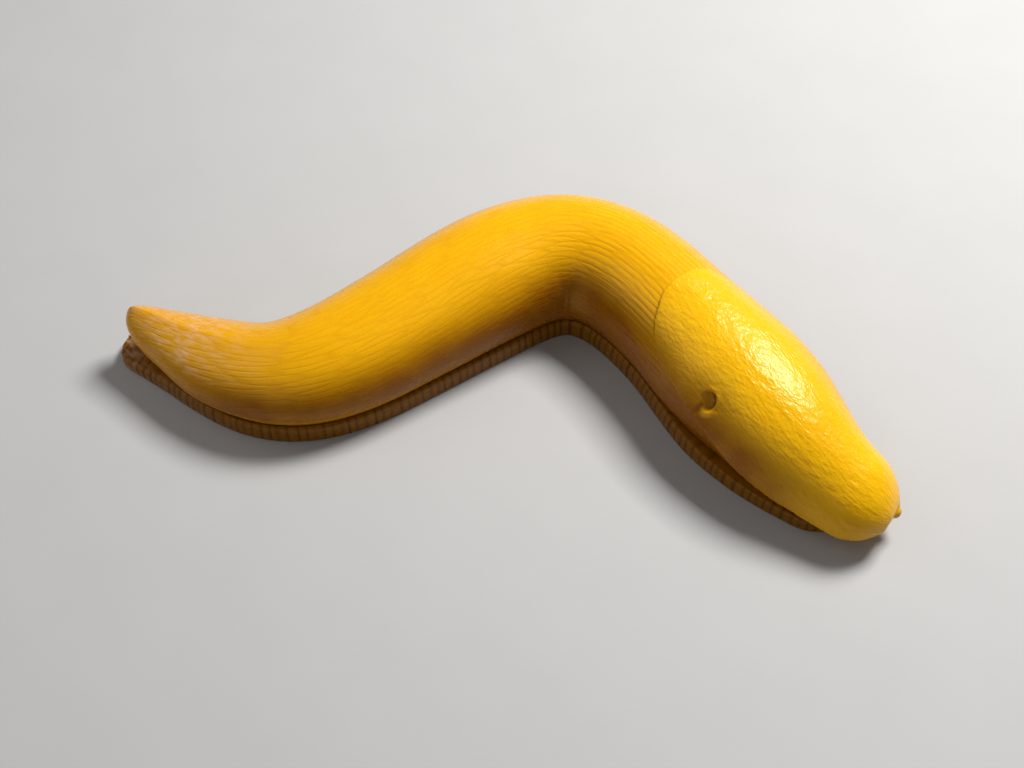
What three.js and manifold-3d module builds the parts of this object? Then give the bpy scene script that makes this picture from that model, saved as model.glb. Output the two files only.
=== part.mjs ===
// Banana slug, life size, crawling in a long bend with its head drawn in under the mantle.
// Millimetres, +Z up, the sole flat on z = 0, the tail towards -X and the head towards +X.
import * as THREE from "three";
import { mergeVertices } from "three/addons/utils/BufferGeometryUtils.js";
import Module from "manifold-3d";

const wasm = await Module();
wasm.setup();

// Driving dimensions. A station is a share of bodyLength, 0 at the tip of the tail and 1 at the nose.
const bodyLength = 177;
const tailTip = { x: -70.71, y: 9.81 };
const tailHeading = -27;
const bends = [
  { at: 0.09, turn: -5, spread: 0.04 },
  { at: 0.2, turn: 70, spread: 0.067 },
  { at: 0.55, turn: -95, spread: 0.075 },
  { at: 0.92, turn: 24, spread: 0.065 },
];
const halfWidths = [[0, 5.4], [0.04, 6.2], [0.08, 7.3], [0.11, 8.3], [0.21, 11.4], [0.33, 12.6], [0.45, 13.5],
  [0.575, 12.6], [0.695, 12.3], [0.8, 13.9], [0.86, 12.6], [0.92, 9.8], [0.96, 8.4], [1, 7.2]];
const heights = [[0, 11.6], [0.03, 12.7], [0.08, 13.2], [0.11, 13.6], [0.21, 16.4], [0.33, 18.3],
  [0.45, 20.2], [0.575, 20.7], [0.695, 20.7], [0.8, 20.2], [0.86, 18.9], [0.92, 15.6], [0.96, 13], [1, 11]];
const gap = 0.3;

// The foot: a flat sole with a grooved fringe all round it.
const footEnd = 0.965;
const fringeHeights = [[0, 2.6], [0.08, 3.4], [0.2, 4], [0.8, 4], [0.9, 3.2], [1, 2.4]];
const fringeWidth = 2.2;
const fringeLobe = 3.2;
const fringeGroove = 0.35;
const tailEndRadius = 4;
const footFrontRadius = 7;

// The body wall above the foot, furrowed lengthways, and how far it draws in under the mantle.
const wallStart = 0.012;
const wallEnd = 0.94;
const furrowDepth = 0.22;
const wallSides = 34;
const wallStep = 4.2;
const curlAngle = 26;
const bulgeLevel = 0.3;
const keelSharpness = 0.75;
const keelEnd = 0.3;
const flankDrawnIn = 0.12;
const tailDrawnIn = 0.5;

// The mantle: a shield over the front third, with a free edge. Its margin is [station, height].
const mantleMargin = [[0.684, 22.5], [0.69, 20.4], [0.7, 18.9], [0.71, 17.2], [0.725, 15.2], [0.74, 13.8],
  [0.77, 12.9], [0.8, 11.9], [0.83, 10.3], [0.86, 8.2], [0.89, 6.2], [0.92, 4.9], [0.96, 4], [1.02, 3.7]];
const mantleProud = 0.5;
const mantleInset = 1.3;
const mantleCoreEnd = 0.955;
const noseRadius = 8.5;

// The breathing pore, on the right of the mantle.
const pore = { at: 0.812, angle: 38, radius: 1.9, depth: 1.1, lip: 0.55 };

// The head, drawn in: the snout, its lips, and the stubs of the four tentacles. Only the upper left
// one reaches out past the mantle.
const snout = { at: 0.962, left: -0.9, length: 13, width: 12, height: 7.2, level: 4.4 };
const mouth = { level: 2.8, width: 3.2, height: 1.7, lip: 0.5 };
const upperTentacle = {
  side: 2.4, level: 4.3, radius: 1, length: 3.4, splay: 6, reach: { left: 2.4, right: -0.6 } };
const lowerTentacle = {
  side: 3.5, level: 2.7, radius: 0.65, length: 2, splay: 25, reach: { left: 0, right: -0.6 } };

const lengths = [
  { name: "tail", from: wallStart, to: 0.15 },
  { name: "rear", from: 0.15, to: 0.33 },
  { name: "middle", from: 0.33, to: 0.5 },
  { name: "shoulder", from: 0.5, to: 0.66 },
  { name: "front", from: 0.66, to: wallEnd },
];

const skinOf = (name, color, roughness) => new THREE.MeshStandardMaterial(
  { name, color, roughness, metalness: 0 });
const backSkin = skinOf("back_skin", 0xeda80e, 0.3);
const mantleSkin = skinOf("mantle_skin", 0xf7b60c, 0.28);
const fringeSkin = skinOf("fringe_skin", 0xa8730f, 0.4);
const soleSkin = skinOf("sole_skin", 0xc9a455, 0.45);
const headSkin = skinOf("head_skin", 0xe0a52a, 0.35);

const rad = THREE.MathUtils.degToRad;
const clamp = THREE.MathUtils.clamp;

// A smooth curve through a table of [station, value] pairs.
function smoothTable(table) {
  const slope = (i) => {
    const [a, b] = [Math.max(i - 1, 0), Math.min(i + 1, table.length - 1)];
    return (table[b][1] - table[a][1]) / (table[b][0] - table[a][0]);
  };
  return (station) => {
    const t = clamp(station, table[0][0], table.at(-1)[0]);
    let i = 0;
    while (i < table.length - 2 && t > table[i + 1][0]) i++;
    const span = table[i + 1][0] - table[i][0];
    const u = (t - table[i][0]) / span;
    const [u2, u3] = [u * u, u * u * u];
    return (2 * u3 - 3 * u2 + 1) * table[i][1] + (u3 - 2 * u2 + u) * span * slope(i)
      + (3 * u2 - 2 * u3) * table[i + 1][1] + (u3 - u2) * span * slope(i + 1);
  };
}

const halfWidth = smoothTable(halfWidths);
const height = smoothTable(heights);
const fringeHeight = smoothTable(fringeHeights);
const marginHeight = smoothTable(mantleMargin);
const ease = (from, to, t) => THREE.MathUtils.smoothstep(t, from, to);

// How much of a section is left near a rounded end, a given number of millimetres before it.
const roundEnd = (distance, radius) => Math.sqrt(1 - (1 - clamp(distance / radius, 0, 1)) ** 2);

const heading = (station) => rad(tailHeading + bends.reduce(
  (sum, bend) => sum + (bend.turn / 2) * (1 + Math.tanh((station - bend.at) / bend.spread)), 0));

// The midline on the floor, walked from the tail to past the nose in short steps.
const midlineSteps = 800;
const midlineEnd = 1.1;
const midline = [new THREE.Vector2(tailTip.x, tailTip.y)];
for (let i = 0; i < midlineSteps; i++) {
  const angle = heading(((i + 0.5) / midlineSteps) * midlineEnd);
  const stride = (midlineEnd * bodyLength) / midlineSteps;
  const step = new THREE.Vector2(Math.cos(angle), Math.sin(angle)).multiplyScalar(stride);
  midline.push(midline[i].clone().add(step));
}

// The point at a station, so far to the left of the midline and so high.
function place(station, left, up) {
  const t = clamp((station / midlineEnd) * midlineSteps, 0, midlineSteps);
  const i = Math.min(Math.floor(t), midlineSteps - 1);
  const on = midline[i].clone().lerp(midline[i + 1], t - i);
  const angle = heading(station);
  return new THREE.Vector3(on.x - Math.sin(angle) * left, on.y + Math.cos(angle) * left, up);
}

const stationsBetween = (from, to, step) => {
  const count = Math.max(2, Math.ceil(((to - from) * bodyLength) / step));
  return Array.from({ length: count + 1 }, (_, i) => from + ((to - from) * i) / count);
};

// A closed solid through the outlines [left, up] that outline(station) gives, made from a cylinder.
function loft(stations, outline) {
  const rings = stations.map((station) => outline(station).map(([left, up]) => place(station, left, up)));
  const sides = rings[0].length;
  const steps = stations.length - 1;
  const geometry = new THREE.CylinderGeometry(1, 1, 1, sides, steps);
  const position = geometry.getAttribute("position");
  for (let i = 0; i < position.count; i++) {
    const [x, y, z] = [position.getX(i), position.getY(i), position.getZ(i)];
    const ring = rings[Math.round((0.5 - y) * steps)];
    const turn = Math.round((Math.atan2(x, z) / (2 * Math.PI)) * sides);
    const middle = ring.reduce((sum, p) => sum.add(p), new THREE.Vector3()).divideScalar(sides);
    const p = Math.hypot(x, z) < 0.5 ? middle : ring[(turn + sides) % sides];
    position.setXYZ(i, p.x, p.y, p.z);
  }
  return solid(geometry);
}

// A geometry as a manifold solid with its faces out.
function solid(geometry) {
  const bare = geometry.clone();
  bare.deleteAttribute("normal");
  bare.deleteAttribute("uv");
  const merged = mergeVertices(bare, 1e-4);
  const triVerts = new Uint32Array(merged.index.array);
  const build = () => new wasm.Manifold(new wasm.Mesh({
    numProp: 3, vertProperties: merged.getAttribute("position").array, triVerts }));
  const made = build();
  if (made.volume() > 0) return made;
  for (let i = 0; i < triVerts.length; i += 3) {
    [triVerts[i], triVerts[i + 1]] = [triVerts[i + 1], triVerts[i]];
  }
  return build();
}

const largest = (manifold) => manifold.decompose().sort((a, b) => b.volume() - a.volume())[0];

function meshOf(name, manifold, material) {
  const made = manifold.getMesh();
  const geometry = new THREE.BufferGeometry();
  geometry.setAttribute("position", new THREE.BufferAttribute(new Float32Array(made.vertProperties), 3));
  geometry.setIndex(new THREE.BufferAttribute(new Uint32Array(made.triVerts), 1));
  geometry.computeVertexNormals();
  const mesh = new THREE.Mesh(geometry, material);
  mesh.name = name;
  return mesh;
}

// A geometry stood at a station: its own +Y looks forwards, +X to the right and +Z up.
function stand(geometry, station, left, up, turn = 0, pitch = 0) {
  const at = place(station, left, up);
  const frame = new THREE.Matrix4().makeTranslation(at.x, at.y, at.z)
    .multiply(new THREE.Matrix4().makeRotationZ(heading(station) - Math.PI / 2 + rad(turn)))
    .multiply(new THREE.Matrix4().makeRotationX(rad(pitch)));
  return solid(geometry.clone().applyMatrix4(frame));
}

// Foot

const footHalfWidth = (station) => 0.97 * halfWidth(station)
  * roundEnd(station * bodyLength, tailEndRadius)
  * roundEnd((footEnd - station) * bodyLength, footFrontRadius);

// The foot's outline, so much wider than the real one, with the fringe's grooves as deep as given.
function footSolid(grow, grooved) {
  const lobes = Math.round((footEnd * bodyLength) / fringeLobe);
  const stations = Array.from({ length: lobes }, (_, i) => i)
    .flatMap((i) => [0.04, 0.22, 0.78].map((share) => ((i + share) / lobes) * footEnd));
  return loft([...stations, footEnd - 0.0005], (station) => {
    const share = (station / footEnd) * lobes % 1;
    const inGroove = share < 0.1 && grooved ? fringeGroove : 0;
    const w = Math.max(footHalfWidth(station) - inGroove, 0.3) + grow;
    const top = fringeHeight(station) + grow;
    return [[-w + 0.5, 0], [w - 0.5, 0], [w, 1.1], [w - 0.05, 0.78 * top], [w - 0.8, top],
      [-w + 0.8, top], [-w + 0.05, 0.78 * top], [-w, 1.1]].map(([y, z]) => [w < 1 ? clamp(y, -w, w) : y, z]);
  });
}

const soleInset = fringeWidth + gap;
const soleFrom = 0.022;
const soleTo = footEnd - 0.03;
function soleSolid(from, to, grow, base) {
  return loft(stationsBetween(from, to, 5), (station) => {
    const w = Math.max(footHalfWidth(station) - soleInset, 0.8) + grow;
    const top = fringeHeight(station);
    return [[-w, base], [w, base], [w, top + grow], [-w, top + grow]];
  });
}

// Body wall

// The body's outline at a station, moved out by grow: it curls in below to the groove over the fringe.
function wallOutline(station, grow, low, sides, furrow, inset = 1) {
  const a = halfWidth(station) * inset + grow;
  const top = height(station) + grow;
  const bulge = low + bulgeLevel * (top - low);
  const keel = 1 + keelSharpness * (1 - ease(0.02, keelEnd, station));
  return Array.from({ length: sides }, (_, i) => {
    const angle = rad(-curlAngle + ((180 + 2 * curlAngle) * i) / (sides - 1));
    const ridge = furrow * (i % 2 ? 0.5 : -0.5) * (i > 2 && i < sides - 3 ? 1 : 0);
    const side = Math.cos(angle);
    const rise = Math.sin(angle) > 0 ? top - bulge : (bulge - low) / Math.sin(rad(curlAngle));
    return [-Math.sign(side) * (Math.abs(side) ** keel * a + ridge * Math.abs(side)),
      bulge + (rise + ridge) * Math.sin(angle)];
  });
}

const wallFloor = (station) => fringeHeight(station) + gap;
const wallEndRounding = (station) => roundEnd((station - wallStart) * bodyLength + 0.25, 2);
const flankInset = (station) => 1 - flankDrawnIn * ease(0.73, 0.84, station)
  - tailDrawnIn * (1 - ease(0, 0.1, station));

// The body wall between two stations. The tail's own end is steep and rounded.
function wallSolid(from, to) {
  return loft(stationsBetween(from, to, wallStep), (station) => {
    const low = wallFloor(station);
    const k = wallEndRounding(station);
    return wallOutline(station, 0, low, wallSides, furrowDepth, flankInset(station))
      .map(([y, z]) => [y * k, low + (z - low) * (0.35 + 0.65 * k)]);
  });
}

// Mantle

// The body shape that the mantle is cut from, round at the nose or at the end of the core.
function shieldSolid(grow, end, radius) {
  const ends = [0.995, 0.985, 0.97, 0.95, 0.93].map((share) => end - (1 - share) * 0.5);
  const stations = [...stationsBetween(0.66, end - 0.045, 3.2), ...ends.reverse(), end - 0.0006]
    .filter((s, i, all) => i === 0 || s > all[i - 1]);
  return loft(stations, (station) => {
    const k = roundEnd((end - station) * bodyLength, radius);
    const middle = 0.42 * height(station);
    return wallOutline(station, grow, 1.2, 30, 0).map(([y, z]) => [y * k, middle + (z - middle) * k]);
  });
}

// Everything lower than the mantle's margin, or behind its rear edge.
function belowMargin(lower) {
  return loft(stationsBetween(0.6, 1.06, 2.2), (station) => {
    const level = marginHeight(station + lower / bodyLength) - lower;
    return [[-30, -5], [30, -5], [30, level], [-30, level]];
  });
}

function mantleSolid(grow) {
  const shell = shieldSolid(mantleProud + grow, 1 + grow / bodyLength, noseRadius)
    .subtract(shieldSolid(-mantleInset - grow, mantleCoreEnd - grow / bodyLength, noseRadius));
  return largest(shell.subtract(belowMargin(grow)));
}

// Breathing pore

function poreSolids() {
  const angle = rad(pore.angle);
  const a = halfWidth(pore.at) + mantleProud;
  const top = height(pore.at) + mantleProud;
  const bulge = 1.2 + bulgeLevel * (top - 1.2);
  const at = place(pore.at, -Math.cos(angle) * a, bulge + (top - bulge) * Math.sin(angle));
  const outward = place(pore.at, -Math.cos(angle), bulge + Math.sin(angle)).sub(place(pore.at, 0, bulge));
  const frame = new THREE.Matrix4().compose(at, new THREE.Quaternion().setFromUnitVectors(
    new THREE.Vector3(0, 0, 1), outward), new THREE.Vector3(1, 1, 1));
  const inset = (geometry, out) => solid(geometry.translate(0, 0, out).applyMatrix4(frame));
  const { radius, depth, lip } = pore;
  const plug = new THREE.CylinderGeometry(radius + gap, radius + gap, 4, 18).rotateX(Math.PI / 2);
  const seat = inset(plug, 2 - depth);
  const profile = [[radius, -depth + gap], [radius, -0.1], [radius - 0.25 * lip, 0.3], [radius - lip, 0.35],
    [radius - 1.5 * lip, -0.1], [radius - 1.6 * lip, -depth + gap], [radius, -depth + gap]]
    .map(([r, z]) => new THREE.Vector2(r, z));
  const ring = inset(new THREE.LatheGeometry(profile, 18).rotateX(Math.PI / 2), 0);
  return { seat, ring };
}

// Head

function headSolids() {
  const { at, left, length, width, height: tall, level } = snout;
  const ball = (grow) => stand(new THREE.SphereGeometry(0.5, 22, 12)
    .scale(width + 2 * grow, length + 2 * grow, tall + 2 * grow), at, left, level);
  const front = at + (0.45 * length) / bodyLength;
  const lips = stand(new THREE.TorusGeometry(mouth.width / 2, mouth.lip, 6, 16)
    .scale(1, mouth.height / mouth.width, 1).rotateX(Math.PI / 2), front, left, mouth.level);
  const tentacle = (spec, sideName, grow) => {
    const side = sideName === "left" ? 1 : -1;
    const centre = front + (spec.reach[sideName] - 0.9 * spec.length) / bodyLength;
    return stand(new THREE.CapsuleGeometry(spec.radius + grow, spec.length, 3, 10),
      centre, left + side * spec.side, spec.level, side * spec.splay);
  };
  return { ball, lips, tentacle };
}

// Assembly

const slug = new THREE.Group();
slug.name = "banana_slug";
const add = (name, manifold, material) => slug.add(meshOf(name, largest(manifold), material));

const halfGap = gap / 2 / bodyLength;
const mantleRaw = mantleSolid(0);
const mantleClearance = mantleSolid(gap);
const { seat, ring } = poreSolids();
const { ball, lips, tentacle } = headSolids();
const snoutClearance = ball(gap);
const tentacles = ["left", "right"].flatMap((sideName) => [
  { name: `upper_tentacle_${sideName}`, spec: upperTentacle, sideName },
  { name: `lower_tentacle_${sideName}`, spec: lowerTentacle, sideName },
]);
const tentacleClearance = tentacles.map(({ spec, sideName }) => tentacle(spec, sideName, gap))
  .reduce((a, b) => a.add(b));
const foot = footSolid(0, true);
const footClearance = footSolid(gap, false);

const head = ball(0).add(lips).subtract(tentacleClearance).subtract(footClearance);
add("head", head, headSkin);
for (const { name, spec, sideName } of tentacles) {
  add(name, tentacle(spec, sideName, 0).subtract(footClearance), headSkin);
}
add("mantle", mantleRaw.subtract(seat).subtract(snoutClearance).subtract(tentacleClearance), mantleSkin);
add("breathing_pore", ring, mantleSkin);

for (const [i, { name, from, to }] of lengths.entries()) {
  const start = i === 0 ? from : from + halfGap;
  const end = i === lengths.length - 1 ? to : to - halfGap;
  let wall = wallSolid(start, end);
  if (name === "shoulder" || name === "front") wall = wall.subtract(mantleClearance).subtract(snoutClearance);
  add(name === "tail" ? "tail_back" : `body_${name}`, wall, backSkin);
}

const soleClearance = soleSolid(soleFrom, soleTo, gap, -1);
const fringe = foot.subtract(soleClearance);
const wide = new THREE.BoxGeometry(60, gap, 30);
const cuts = lengths.slice(1).map(({ from }) => from);
for (const [i, { name }] of lengths.entries()) {
  const from = i === 0 ? soleFrom : cuts[i - 1] + halfGap;
  const to = i === cuts.length ? soleTo : cuts[i] - halfGap;
  add(`sole_${name}`, soleSolid(from, to, 0, 0), soleSkin);
}
const crossCuts = cuts.map((at) => stand(wide, at, 0, 0)).reduce((a, b) => a.add(b));
const endCuts = [0.01, footEnd - 0.015].map((at) => stand(new THREE.BoxGeometry(gap, 20, 30), at, 0, 0))
  .reduce((a, b) => a.add(b));
const fringePieces = fringe.subtract(crossCuts).subtract(endCuts).decompose()
  .filter((piece) => piece.volume() > 1);
for (const piece of fringePieces) {
  const box = piece.boundingBox();
  const centre = new THREE.Vector3((box.min[0] + box.max[0]) / 2, (box.min[1] + box.max[1]) / 2, 0);
  let nearest = { distance: Infinity };
  for (const [i, { name, from, to }] of lengths.entries()) {
    const middle = ((i === 0 ? 0 : from) + (i === cuts.length ? footEnd : to)) / 2;
    for (const [side, sideName] of [[1, "left"], [-1, "right"]]) {
      const distance = place(middle, side * footHalfWidth(middle), 0).distanceTo(centre);
      if (distance < nearest.distance) nearest = { distance, name: `fringe_${name}_${sideName}` };
    }
  }
  add(nearest.name, piece, fringeSkin);
}

export default slug;
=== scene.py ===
"""Banana slug, life size: one wet skin over the body, mantle, head and foot, with a floor and lights.

The skin is worked out from the same midline, widths and heights as the solids, in millimetres.
"""

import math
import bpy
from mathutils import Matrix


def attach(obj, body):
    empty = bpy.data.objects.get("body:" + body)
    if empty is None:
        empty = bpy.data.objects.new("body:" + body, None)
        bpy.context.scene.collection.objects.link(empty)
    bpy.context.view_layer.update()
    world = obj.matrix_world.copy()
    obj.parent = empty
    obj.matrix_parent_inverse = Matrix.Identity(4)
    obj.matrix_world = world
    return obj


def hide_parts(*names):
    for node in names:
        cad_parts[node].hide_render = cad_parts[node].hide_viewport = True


bl_info = {
    "name": "Banana Slug",
    "version": (1, 0, 0),
    "blender": (4, 5, 0),
    "location": "View3D > Sidebar > Banana Slug",
    "description": "Builds the slug's skin, its eyes and a plain stage around the packed solids",
    "category": "Add Mesh",
}

import bmesh
import bpy
import numpy as np
from mathutils import Matrix, Vector, noise

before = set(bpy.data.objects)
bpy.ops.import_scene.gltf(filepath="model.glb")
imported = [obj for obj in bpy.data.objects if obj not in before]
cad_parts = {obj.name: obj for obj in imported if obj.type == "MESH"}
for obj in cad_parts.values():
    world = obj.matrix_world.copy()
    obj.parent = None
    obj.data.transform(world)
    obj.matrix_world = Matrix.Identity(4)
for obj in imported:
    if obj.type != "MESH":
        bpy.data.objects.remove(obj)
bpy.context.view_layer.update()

MM = 0.001
ROOT = "root"

# The animal's driving sizes, in millimetres. A station is a share of the body's length, 0 at the tail's tip.
BODY_LENGTH = 177
TAIL_TIP = (-70.71, 9.81)
TAIL_HEADING = -27
BENDS = ((0.09, -5, 0.04), (0.2, 70, 0.067), (0.55, -95, 0.075), (0.92, 24, 0.065))
HALF_WIDTHS = ((0, 5.4), (0.04, 6.2), (0.08, 7.3), (0.11, 8.3), (0.21, 11.4), (0.33, 12.6), (0.45, 13.5),
               (0.575, 12.6), (0.695, 12.3), (0.8, 13.9), (0.86, 12.6), (0.92, 9.8), (0.96, 8.4), (1, 7.2))
HEIGHTS = ((0, 11.6), (0.03, 12.7), (0.08, 13.2), (0.11, 13.6), (0.21, 16.4), (0.33, 18.3), (0.45, 20.2),
           (0.575, 20.7), (0.695, 20.7), (0.8, 20.2), (0.86, 18.9), (0.92, 15.6), (0.96, 13), (1, 11))
FOOT_END = 0.965
FRINGE_HEIGHTS = ((0, 2.6), (0.08, 3.4), (0.2, 4), (0.8, 4), (0.9, 3.2), (1, 2.4))
MANTLE_MARGIN = ((0.684, 22.5), (0.69, 20.4), (0.7, 18.9), (0.71, 17.2), (0.725, 15.2), (0.74, 13.8),
                 (0.77, 12.9), (0.8, 11.9), (0.83, 10.3), (0.86, 8.2), (0.89, 6.2), (0.92, 4.9),
                 (0.96, 4), (1.02, 3.7))
MANTLE_START = 0.655
MANTLE_LOW = 1.2
MANTLE_MIDDLE = 0.42
MANTLE_PROUD = 0.5
NOSE_RADIUS = 7.5
NOSE_TURNED = 0.45
CURL_ANGLE = math.radians(26)
BULGE_LEVEL = 0.3
KEEL_SHARPNESS = 0.75
KEEL_END = 0.3
FLANK_DRAWN_IN = 0.12
TAIL_DRAWN_IN = 0.5
FOOT_TAIL_RADIUS = 4
FOOT_HEAD_RADIUS = 7

# The body wall above the foot: where it starts and ends, and the radii that round its ends.
WALL_START = 0.036
WALL_END = 0.955
WALL_TAIL_RADIUS = 5
WALL_TAIL_RISE = 3.6
WALL_HEAD_RADIUS = 8
TAIL_LEAN = 5.6
LEAN_LEVELS = (3, 11)
LEAN_STATIONS = (0.045, 0.17)

# The mantle's margin arches up a little towards the middle, above the head.
MARGIN_START = 0.645
MARGIN_END = 1.06
MARGIN_REACH = 17
MARGIN_ARCH = 1.4
MARGIN_SOFT = 0.35

# The breathing pore, and the head under the mantle.
PORE_AT = 0.812
PORE_ANGLE = math.radians(38)
PORE_WIDTH = 3.7
PORE_DEPTH = 1.3
PORE_DENT = 0.35
PORE_RIM = 0.14
PORE_SILL = 0.34
PORE_NOTCH = 0.3
SNOUT = {"at": 0.962, "left": -0.9, "length": 13, "width": 12, "height": 7.2, "level": 4.4}
MOUTH = {"level": 2.8, "width": 3.2, "height": 1.7, "lip": 1.6}
UPPER_TENTACLE = {"side": 2.4, "level": 4.7, "radius": 1.2, "length": 3.4, "splay": 6, "reach": (1.8, -2.2)}
LOWER_TENTACLE = {"side": 3.5, "level": 2.7, "radius": 0.65, "length": 2, "splay": 20, "reach": (-2.4, -2.4)}
EYE_SIZE = (0.45, 0.5, 0.45)
EYE_INSET = 0.63
EYE_DROP = 0.85

# The relief of the skin.
MANTLE_GRAIN = 0.02
MANTLE_SWELL = 0.27
WALL_SWELL = 0.1
BEND_AT = 0.555
BEND_FOLD = 0.22
RIM_NOTCH = 0.16

# How finely the body and the mantle are meshed.
BODY_SIDES = 330
BODY_RINGS = 190
RIM_CUTS = 3
MANTLE_SIDES = 150
MANTLE_RINGS = 150
PORE_CUTS = 2
CROWDING = 4

# Where the photograph was taken from: straight over the slug's right side, looking down.
CAMERA_TARGET = (3.46, -0.23, 0)
CAMERA_DISTANCE = 267.3
CAMERA_ELEVATION = math.radians(52)
CAMERA_ANGLE = math.radians(40)

# Each soft light's place and size in millimetres, and its share of the key light's power.
LIGHTS = (("key", (245, 215, 410), 170, 1), ("fill", (-380, 60, 320), 420, 0.1),
          ("front", (-230, -340, 280), 420, 0.05))
BACKDROP_COLOUR = (0.93, 0.95, 1, 1)
BACKDROP_STRENGTH = 0.13
FLOOR_RADIUS = 2500

# Every solid of the frame is flesh, so the one skin replaces them all.
FLESH = list(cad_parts)


def smooth_table(table):
    """A smooth curve through (station, value) pairs."""
    xs, ys = np.array(table, float).T
    last = len(xs) - 1
    low = np.maximum(np.arange(last + 1) - 1, 0)
    high = np.minimum(np.arange(last + 1) + 1, last)
    slopes = (ys[high] - ys[low]) / (xs[high] - xs[low])

    def curve(station):
        t = np.clip(station, xs[0], xs[-1])
        i = np.clip(np.searchsorted(xs, t, side="right") - 1, 0, last - 1)
        span = xs[i + 1] - xs[i]
        u = (t - xs[i]) / span
        return ((2 * u**3 - 3 * u**2 + 1) * ys[i] + (u**3 - 2 * u**2 + u) * span * slopes[i]
                + (3 * u**2 - 2 * u**3) * ys[i + 1] + (u**3 - u**2) * span * slopes[i + 1])

    return curve


def ease(low, high, t):
    """0 before low, 1 after high and a smooth rise between them."""
    u = np.clip((t - low) / (high - low), 0, 1)
    return u * u * (3 - 2 * u)


def round_end(distance, radius):
    """How much of a section is left so far from a rounded end."""
    return np.sqrt(1 - (1 - np.clip(distance / radius, 0, 1)) ** 2)


half_width = smooth_table(HALF_WIDTHS)
height = smooth_table(HEIGHTS)
fringe_height = smooth_table(FRINGE_HEIGHTS)
margin_height = smooth_table(MANTLE_MARGIN)

MIDLINE_STEPS = 1600
MIDLINE_END = 1.1

# Points are looked up a batch at a time, first against every few points of the midline.
BATCH = 4000
COARSE = 4


def heading(station):
    """The direction of the midline, in radians."""
    turn = sum(angle / 2 * (1 + np.tanh((station - at) / spread)) for at, angle, spread in BENDS)
    return np.radians(TAIL_HEADING + turn)


def walk_midline():
    """Points of the midline on the floor, from the tail to past the nose."""
    middle = (np.arange(MIDLINE_STEPS) + 0.5) / MIDLINE_STEPS * MIDLINE_END
    stride = MIDLINE_END * BODY_LENGTH / MIDLINE_STEPS
    steps = np.stack([np.cos(heading(middle)), np.sin(heading(middle))], 1) * stride
    return np.vstack([[TAIL_TIP], np.array(TAIL_TIP) + np.cumsum(steps, 0)])


midline = walk_midline()
midline_stations = np.linspace(0, MIDLINE_END, MIDLINE_STEPS + 1)


def place(station, left, up):
    """Points at stations, so far left of the midline and so high."""
    station, left, up = np.broadcast_arrays(station, left, up)
    x = np.interp(station, midline_stations, midline[:, 0])
    y = np.interp(station, midline_stations, midline[:, 1])
    angle = heading(station)
    return np.stack([x - np.sin(angle) * left, y + np.cos(angle) * left, up], -1)


def locate(points):
    """The station and the distance left of the midline of each point."""
    stations = np.empty(len(points))
    lefts = np.empty(len(points))
    for start in range(0, len(points), BATCH):
        part = points[start:start + BATCH, :2]
        gaps = ((part[:, None, :] - midline[None, ::COARSE, :]) ** 2).sum(2)
        coarse = gaps.argmin(1) * COARSE
        window = np.clip(coarse[:, None] + np.arange(-COARSE, COARSE + 1)[None], 0, MIDLINE_STEPS)
        near = ((part[:, None, :] - midline[window]) ** 2).sum(2)
        best = window[np.arange(len(part)), near.argmin(1)]
        angle = heading(midline_stations[best])
        off = part - midline[best]
        ahead = off[:, 0] * np.cos(angle) + off[:, 1] * np.sin(angle)
        stations[start:start + BATCH] = midline_stations[best] + ahead / BODY_LENGTH
        lefts[start:start + BATCH] = -off[:, 0] * np.sin(angle) + off[:, 1] * np.cos(angle)
    return stations, lefts


def foot_half_width(station):
    """Half the width of the foot."""
    return (0.97 * half_width(station) * round_end(station * BODY_LENGTH, FOOT_TAIL_RADIUS)
            * round_end((FOOT_END - station) * BODY_LENGTH, FOOT_HEAD_RADIUS))


def flank_inset(station):
    """How far the body wall draws in, under the mantle and at the tail."""
    return (1 - FLANK_DRAWN_IN * ease(0.73, 0.84, station)
            - TAIL_DRAWN_IN * (1 - ease(0, 0.13, station)))


def wall_levels(station, low, grow=0):
    """The body's top and the level where it is widest."""
    top = height(station) + grow
    return top, low + BULGE_LEVEL * (top - low)


def dome(station, angle, grow, low, inset):
    """The distance out and the height of the body's outline at an angle above its widest level."""
    top, bulge = wall_levels(station, low, grow)
    keel = 1 + KEEL_SHARPNESS * (1 - ease(0.02, KEEL_END, station))
    rise = np.where(np.sin(angle) > 0, top - bulge, (bulge - low) / math.sin(CURL_ANGLE))
    out = np.maximum(np.cos(angle), 0) ** keel * (half_width(station) * inset + grow)
    return out, bulge + rise * np.sin(angle)


def wall_angle(share):
    """The angle of the outline at a share of the way from where it curls in to the ridge."""
    return -CURL_ANGLE + (math.pi / 2 + CURL_ANGLE) * np.clip(share, 0, 1)


def wall_ends(station, tail_radius):
    """How much of the body wall is left near its two rounded ends."""
    return (round_end((station - WALL_START) * BODY_LENGTH, tail_radius)
            * round_end((WALL_END - station) * BODY_LENGTH, WALL_HEAD_RADIUS))


# The rim of the foot, from the sole's edge up to the groove: how far in, and the share of its height.
RIM_INSETS = smooth_table(((0, -0.6), (0.12, -0.22), (0.25, -0.04), (0.45, 0), (0.65, -0.06), (0.8, -0.35),
                           (1, -0.7)))
RIM_LEVELS = smooth_table(((0, 0), (0.12, 0.03), (0.25, 0.14), (0.45, 0.4), (0.6, 0.68), (0.72, 0.88),
                           (0.85, 0.99), (0.94, 0.98), (1, 0.93)))
RIM_TAIL_RADIUS = 2.5
SOLE_SHARE = 0.05
SOLE_INSET = 0.6
RIM_SHARE = 0.21
LEDGE_START = 0.74
GROOVE_GAP = 0.1
NARROW_FOOT = 3


def tail_lean(station, up):
    """How far the tail's end hangs back over the foot, as a share of the length."""
    return TAIL_LEAN / BODY_LENGTH * ease(*LEAN_LEVELS, up) * (1 - ease(*LEAN_STATIONS, station))


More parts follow.
